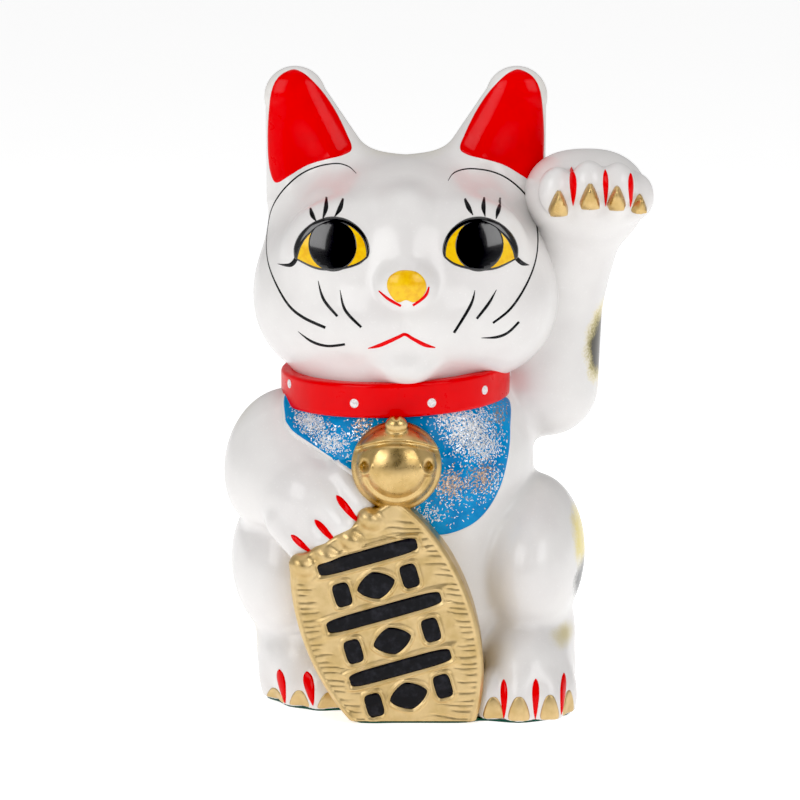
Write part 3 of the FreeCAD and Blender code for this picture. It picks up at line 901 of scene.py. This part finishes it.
# ---- paws ----
# red drops between the toes: top, bottom, width
TOE_DROPS = (((62.8, 209.4), (63.2, 195.6), 2.5), ((75, 209.8), (75.4, 195.6), 2.1),
             ((84.6, 208.4), (85, 194.8), 2.1), ((37.4, 16.4), (37.4, 1.4), 2.6),
             ((49.5, 17.2), (49.4, 1.2), 2.7), ((60.6, 17), (59.4, 2.6), 2.4),
             ((-49, 14.9), (-46.8, 1.6), 3.3), ((-38.3, 15.2), (-35.8, 2.6), 4.1),
             ((-26.4, 88), (-16.6, 77.2), 2.7), ((-34.6, 79), (-25.2, 69.6), 2.5),
             ((-43.6, 72.5), (-34.6, 65.4), 2.4))
# share of the way down, share of the width
DROP_SHAPE = ((0, 0.08), (0.07, 0.6), (0.2, 0.95), (0.4, 1.0), (0.65, 0.72), (0.85, 0.42), (1, 0.08))
# middle, half width and top of each scallop of gold paint on the feet
FOOT_CLAWS = ((33.4, 3.7, 10), (43.1, 3.9, 11), (54.9, 3.4, 11.2), (62.4, 2.2, 10.6),
              (-29.2, 4.6, 8), (-41.2, 3.6, 7.8), (-50.8, 3.3, 6.2))
# place and size of each claw of the raised paw
PAW_CLAWS = ((57.6, 197.4, 1.0), (69.2, 200.6, 1.0), (79.4, 199.6, 0.95), (88.4, 196.2, 0.8))
CLAW_OUTLINE = ((-3.8, -3.6), (-2.6, 0.8), (-0.7, 4.4), (0.7, 4.4), (2.6, 0.8), (3.8, -3.6),
                (1.8, -5), (-1.8, -5))


def paint_toes():
    drops = []
    for (x, z), (low_x, low_z), width in TOE_DROPS:
        path = [(x + (low_x - x) * t, z + (low_z - z) * t, share) for t, share in DROP_SHAPE]
        drops.append(brushed(path, width, body_form, 0.4))
    enamel("toe_lines", drops, RED)


def paint_foot_claws():
    low = FELT + 0.5
    claws = []
    for x, half, top in FOOT_CLAWS:
        scallop = ((x - half, low), (x - half * 0.95, top * 0.5), (x - half * 0.5, top * 0.9), (x, top),
                   (x + half * 0.5, top * 0.9), (x + half * 0.95, top * 0.5), (x + half, low), (x, low - 0.1))
        claws.append(filled(scallop, body_form, 0.35, 0.8, 1.2))
    enamel("foot_claws", claws, GOLD)


def make_paw_claws():
    claws = []
    for x, z, size in PAW_CLAWS:
        outline = [(x + a * size, z + b * size) for a, b in CLAW_OUTLINE]
        claws.append(filled(outline, body_form, 3.4, 3.2, 0.8))
    piece = enamel("paw_claws", claws, BRIGHT_GOLD)
    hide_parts("raised_paw_claws")


# ---- collar, bib and bell ----
BIB = ((-45.5, 121), (-46.6, 113), (-45.1, 110), (-42, 107.3), (-32.7, 102.5), (-21.9, 96.9), (-13, 90.5),
       (-5, 83), (2, 75.5), (12, 70.8), (22.6, 72.8), (29.8, 77.8), (35.4, 86.6), (38.6, 97.2),
       (39.8, 107.6), (38.2, 119), (20, 121), (-4, 121), (-28, 122))
BIB_THICK = 1.15
# dots: degrees round the collar from the front, towards the cat's left, and height
DOTS = ((-66.5, 125.6), (-20.5, 122.6), (18, 122.9), (50, 125.2), (89, 126.4), (127, 125.8),
        (168, 124.6), (-148, 124), (-107, 124.8))
DOT_RADIUS = 1.75


def button(form, place, radius, thick):
    """A small round dome laid on a form at a place on or near it."""
    centre = settle(form, np.array(place, float)[:, None], 6, 4.0)[:, 0]
    out = unit(slopes(form, centre[:, None], 0.5)[:, 0])
    side = unit(np.cross(out, (0, 0, 1)))
    up = np.cross(side, out)
    ring = 20
    shares = (0.12, 0.4, 0.7, 0.88, 1.0)
    points, fall = [centre], [0]
    for share in shares:
        for turn in np.arange(ring) * 2 * math.pi / ring:
            points.append(centre + radius * share * (math.cos(turn) * side + math.sin(turn) * up))
            fall.append(share ** 2 * 0.95)
    flat = settle(form, np.array(points).T, 3)
    normal = unit(slopes(form, flat, 0.3))
    rise = thick * np.sqrt(1 - np.array(fall))
    rise[0] -= thick * 0.6
    patches = [[0, 1 + k, 1 + (k + 1) % ring] for k in range(ring)]
    for i in range(len(shares) - 1):
        a, b = 1 + i * ring, 1 + (i + 1) * ring
        patches += [[a + k, b + k, b + (k + 1) % ring, a + (k + 1) % ring] for k in range(ring)]
    return facing_out(closed_shell(flat + normal * rise, flat - normal * SUNK, patches))


def make_dots():
    shapes = []
    for degrees, height in DOTS:
        turn = math.radians(degrees)
        reach = COLLAR_RADIUS + 3.5
        place = (NECK[0] + reach * math.sin(turn), NECK[1] - reach * math.cos(turn), height)
        shapes.append(button(collar_form, place, DOT_RADIUS, 0.3))
    enamel("collar_dots", shapes, DOT)


def make_collar():
    collar = skin("collar_band", collar_form, (-52, -54, 112), (44, 42, 136), FINE_STEP * 1.3, RED)
    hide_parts("collar")


def make_bib():
    border = inner_ring(np.array(BIB), -0.7)
    edge = enamel("bib_edge", [filled(border, chest_form, 0.8, 0.8, 1.6)], WHITE)
    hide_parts("bib")
    enamel("bib_blue", [filled(BIB, chest_form, BIB_THICK, 0.8, 1.3)], BLUE)


# glitter patches: middle x, z, half sizes, how many flakes
WHITE_FLAKES = ((-36, 113, 6, 4, 480), (-28, 106, 6.5, 3.5, 340), (23, 112, 8, 6.5, 950),
                (29, 104, 7, 5, 520), (9, 80, 7, 3.6, 110), (15, 116, 5, 4, 220),
                (34, 90, 3.4, 9, 120), (4, 76, 12, 2, 40))
SILVER_FLAKES = ((-33, 110, 9, 6, 220), (25, 108, 10, 8, 380), (22, 88, 12, 8, 170), (-15, 112, 6, 6, 90),
                 (0, 94, 36, 20, 200))
COPPER_FLAKES = ((16.5, 91, 5.2, 4.8, 330), (28.5, 92.5, 4.4, 5.2, 260), (-16, 114, 3.6, 3.6, 120),
                 (35, 114, 3, 3.6, 90), (6, 88, 26, 12, 90))
FLAKE_SIZE = (0.42, 0.14)       # half sizes of a middling flake


def strewn(patches):
    """Random places of flakes in some patches, kept on the bib."""
    places = []
    for x, z, wide, high, count in patches:
        places.append(rng.normal(size=(count, 2)) * (wide * 0.6, high * 0.6) + (x, z))
    places = np.concatenate(places)
    rim = smooth_path(BIB, 2.0, closed=True)
    return places[within(places, rim) & (rim_distance(places, rim) > 1.2)]


def flakes(name, patches, finish):
    """Thin six-sided scraps lying on the blue at random turns."""
    spots = strewn(patches)
    place, normal = front_of(chest_form, spots[:, 0], spots[:, 1])
    count = len(spots)
    turn = rng.uniform(0, math.pi, count)
    normal = unit(normal + rng.normal(0, 0.16, (3, count)))
    side = unit(np.cross(normal.T, (0, 0, 1)).T)
    up = np.cross(side.T, normal.T).T
    along = side * np.cos(turn) + up * np.sin(turn)
    over = up * np.cos(turn) - side * np.sin(turn)
    long = rng.uniform(0.6, 1.25, count) * FLAKE_SIZE[0]
    wide = rng.uniform(0.7, 1.3, count) * FLAKE_SIZE[1]
    middle = place + normal * (BIB_THICK + 0.06)
    corners = []
    for level in (0.05, -0.05):
        for a, b in ((-1, -1), (1, -1), (1, 1), (-1, 1)):
            corners.append(middle + along * a * long + over * b * wide + normal * level)
    points = np.stack(corners, 2).transpose(1, 2, 0).reshape(-1, 3)
    box = [(0, 1, 2, 3), (7, 6, 5, 4), (4, 5, 1, 0), (5, 6, 2, 1), (6, 7, 3, 2), (7, 4, 0, 3)]
    faces = (np.arange(count)[:, None, None] * 8 + np.array(box)[None]).reshape(-1, 4)
    piece = metres(name, points, faces, finish)
    piece.data.polygons.foreach_set("use_smooth", np.zeros(len(piece.data.polygons), bool))
    return piece


def make_glitter():
    flakes("glitter_white", WHITE_FLAKES, FLAKE_WHITE)
    flakes("glitter_silver", SILVER_FLAKES, FLAKE_SILVER)
    flakes("glitter_copper", COPPER_FLAKES, FLAKE_COPPER)


def make_bell():
    low = [c - 21 for c in BELL]
    high = [c + 22 for c in BELL]
    bell = skin("bell_gold", bell_form, low, high, FINE_STEP, BRIGHT_GOLD)
    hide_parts("bell")


# ---- coin ----
def mark_outline(mark):
    """x, z points round one mark of the coin."""
    u, v, a, b, power = mark
    out = []
    for turn in np.arange(48) * math.pi / 24:
        c, s = math.cos(turn), math.sin(turn)
        along = u + a * math.copysign(abs(c) ** (2 / power), c)
        up = v + b * math.copysign(abs(s) ** (2 / power), s)
        c, s = math.cos(MARK_LEAN), math.sin(MARK_LEAN)
        out.append((COIN[0] + c * along - s * up, COIN[1] + s * along + c * up))
    return out


def make_coin():
    coin = skin("coin_gold", coin_form, (-52, -64, 0), (34, -33, 92), FINE_STEP * 1.2, GOLD)
    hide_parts("koban")
    shapes = [filled(mark_outline(mark), coin_form, 0.5, 1.0, 1.0, 0.4) for mark in coin_marks()]
    marks = enamel("coin_emblems", shapes, COIN_BLACK)
    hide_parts("koban_emblems")


# ---- felt and rubber ----
def standing_form(p):
    return np.minimum(body_form(p), coin_form(p))


def felt_rim(turns, inset):
    """Radius of the felt round the plug at each turn, a little inside the glaze above it."""
    steps = np.arange(95, 20, -0.25)
    radius, turn = np.meshgrid(steps, turns, indexing="ij")
    x, y = PLUG[0] + radius * np.cos(turn), PLUG[1] + radius * np.sin(turn)
    p = np.stack([x.ravel(), y.ravel(), np.full(x.size, FELT + 0.7)])
    inside = (standing_form(p) < 0).reshape(x.shape)
    reach = steps[np.argmax(inside, 0)]
    for _ in range(2):
        reach = (np.roll(reach, 1) + 2 * reach + np.roll(reach, -1)) / 4
    return reach - inset


FELT_HOLE = 19.0                # radius, a little wider than the seat of the plug
FELT_INSET = 1.3
FELT_TURNS = 180


def make_felt():
    turns = np.linspace(0, 2 * math.pi, FELT_TURNS, endpoint=False)
    reach = felt_rim(turns, FELT_INSET)
    shares = np.linspace(0, 1, 16)
    section = [(share, FELT - 0.02) for share in shares] + [(share, 0.0) for share in shares[::-1]]
    points, faces = [], []
    for i, (share, height) in enumerate(section):
        radius = FELT_HOLE + (reach - FELT_HOLE) * share
        points += list(zip(PLUG[0] + radius * np.cos(turns), PLUG[1] + radius * np.sin(turns),
                           np.full(FELT_TURNS, height)))
        a, b = i * FELT_TURNS, (i + 1) % len(section) * FELT_TURNS
        for k in range(FELT_TURNS):
            ahead = (k + 1) % FELT_TURNS
            faces.append((a + k, b + k, b + ahead, a + ahead))
    felt = metres("felt_pad", points, faces, FELT_GREEN)
    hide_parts("felt_base_pad")


def stopper_form(p):
    x, y, z = p[0] - PLUG[0], p[1] - PLUG[1], p[2]
    across = np.hypot(x, y)
    flange = np.maximum(across - 17.2, np.abs(z - PLUG_SEAT + 1.2) - 1.2)
    taper = 13.7 - 1.6 * step_up(z - PLUG_SEAT - 4, 5)
    nose = np.maximum(across - taper, np.abs(z - PLUG_SEAT - 3.5) - 5.3)
    d = np.minimum(flange, nose)
    pocket = np.maximum(across - 11.5, z - PLUG_SEAT + 1.0)
    bar = np.maximum(np.abs(y) - 2.1, np.abs(x) - 13)
    return carve(d, np.maximum(pocket, -bar), 0.9)


def make_stopper():
    plug = skin("rubber_stopper", stopper_form, (-19, 5, 1), (19, 43, 16), FINE_STEP, RUBBER, "stopper")
    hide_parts("stopper")


# ---- floor, light and camera ----
FLOOR_GLOW = 0.62
FLOOR_HALF = 8.0
DARK_WALL = (0.0, -0.87, 0.49)   # direction of its middle
ROOM_LIGHT = 0.46
WALL_LIGHT = 0.03
BLACK_POINT = 0.016              # light level that prints as full black


def make_floor():
    finish = Finish("studio_floor", (0.9, 0.9, 0.9), 0.7, specular=0.1)
    finish.color(finish.mix(finish.noise(400, 2), (0.89, 0.89, 0.89), (0.91, 0.91, 0.91)))
    finish.set("Emission Color", (1, 1, 1, 1))
    finish.set("Emission Strength", FLOOR_GLOW)
    finish.clear_from_behind()
    mesh = bpy.data.meshes.new("studio_floor")
    r, z = FLOOR_HALF, -0.1 * MM
    mesh.from_pydata([(-r, -r, z), (r, -r, z), (r, r, z), (-r, r, z)], [], [(0, 1, 2, 3)])
    mesh.materials.append(finish.material)
    floor = in_scene("studio_floor", mesh)


def softbox(name, place, target, width, height, power):
    light = bpy.data.lights.new(name, "AREA")
    light.shape = "RECTANGLE"
    light.size, light.size_y = width, height
    light.energy = power
    lamp = in_scene(name, light)
    lamp.location = place
    lamp.rotation_euler = (Vector(target) - Vector(place)).to_track_quat("-Z", "Y").to_euler()


def make_world():
    """White room with a dark wall in front of the cat, above the white floor."""
    world = bpy.data.worlds.new("studio")
    nodes = Nodes(world)
    place = nodes.node("ShaderNodeTexCoord").outputs["Generated"]
    toward = nodes.node("ShaderNodeVectorMath", operation="DOT_PRODUCT")
    share = nodes.feed(toward, i0=place, i1=DARK_WALL)["Value"]
    fade = nodes.node("ShaderNodeMapRange", interpolation_type="SMOOTHSTEP")
    light = nodes.feed(fade, i0=share, i1=0.5, i2=0.95, i3=ROOM_LIGHT, i4=WALL_LIGHT)[0]
    nodes.feed(nodes.tree.nodes["Background"], i0=(1, 1, 1, 1), i1=light)
    bpy.context.scene.world = world


def make_light():
    middle = (0, 0, 0.12)
    softbox("left_softbox", (-0.95, -1.05, 0.82), middle, 0.85, 0.85, 7.6)
    softbox("right_softbox", (0.92, -1.05, 0.85), middle, 0.75, 0.8, 6.0)
    softbox("top_softbox", (0.0, -0.2, 1.3), middle, 1.1, 1.1, 2.7)
    make_world()
    view = bpy.context.scene.view_settings
    view.view_transform = "Standard"
    view.use_curve_mapping = True
    view.curve_mapping.black_level = (BLACK_POINT,) * 3
    view.curve_mapping.update()


CAMERA_RISE = math.radians(11)
CAMERA_DISTANCE = 1.4
CAMERA_TARGET = Vector((-0.00226, 0.0, 0.11463))


def make_camera():
    camera = bpy.data.cameras.new("camera")
    camera.sensor_width = 36
    camera.lens = 161
    holder = in_scene("camera", camera)
    back = Vector((0, -math.cos(CAMERA_RISE), math.sin(CAMERA_RISE)))
    holder.location = CAMERA_TARGET + back * CAMERA_DISTANCE
    holder.rotation_euler = (-back).to_track_quat("-Z", "Y").to_euler()
    bpy.context.scene.camera = holder


make_camera()
make_floor()
make_light()
make_skins()
paint_eyes()
paint_face_lines()
paint_nose_mouth_ears()
paint_toes()
paint_foot_claws()
make_paw_claws()
make_collar()
make_dots()
make_bib()
make_glitter()
make_bell()
make_coin()
make_felt()
make_stopper()
